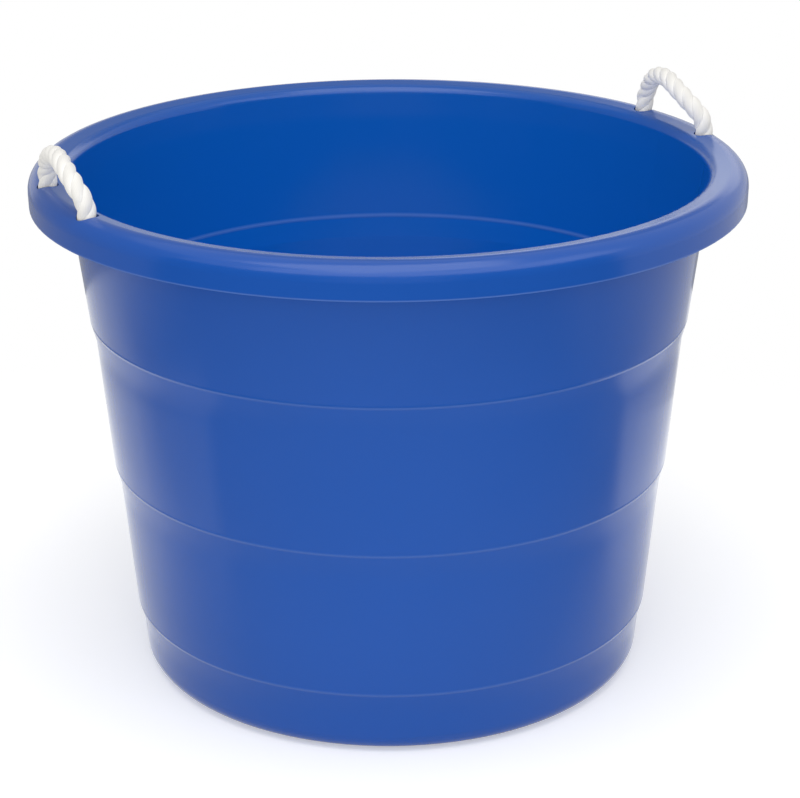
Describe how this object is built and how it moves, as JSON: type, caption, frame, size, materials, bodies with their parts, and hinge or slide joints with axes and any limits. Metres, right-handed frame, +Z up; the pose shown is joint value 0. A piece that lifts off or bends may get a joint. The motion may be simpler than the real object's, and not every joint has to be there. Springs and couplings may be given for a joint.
{
  "type": "utility tub",
  "caption": "Round moulded plastic utility tub with a stepped tapering wall, a rolled rim and a loop of twisted rope knotted through the rim on each side as a carrying handle.",
  "frame": {"origin": "on the floor under the centre of the tub", "axes": "+Z up along the tub's axis, +X towards the right rope loop, -X towards the left one, -Y the front"},
  "size_m": [0.5719, 0.572, 0.4675],
  "materials": {
    "tub_plastic": "semi-gloss moulded polyethylene, deep blue all through",
    "rope": "soft three-strand twisted rope, off-white"
  },
  "bodies": {
    "tub": {"tub_shell": "tub_plastic"},
    "left_rope_ends": {"left_front_knot": "rope", "left_rear_knot": "rope"},
    "left_rope_loop": {"left_rope_arch": "rope"},
    "right_rope_ends": {"right_front_knot": "rope", "right_rear_knot": "rope"},
    "right_rope_loop": {"right_rope_arch": "rope"}
  },
  "joints": [
    {"name": "left_rope_pull", "type": "slide", "parent": "tub", "child": "left_rope_ends", "axis": [0, 0, 1], "range_m": [0, 0.008]},
    {"name": "left_rope_swing", "type": "hinge", "parent": "left_rope_ends", "child": "left_rope_loop", "pos_m": [-0.26782, 0, 0.4305], "axis": [0, -1, 0], "range_deg": [-60, 60]},
    {"name": "right_rope_pull", "type": "slide", "parent": "tub", "child": "right_rope_ends", "axis": [0, 0, 1], "range_m": [0, 0.008]},
    {"name": "right_rope_swing", "type": "hinge", "parent": "right_rope_ends", "child": "right_rope_loop", "pos_m": [0.26782, 0, 0.4305], "axis": [0, 1, 0], "range_deg": [-60, 60]}
  ]
}
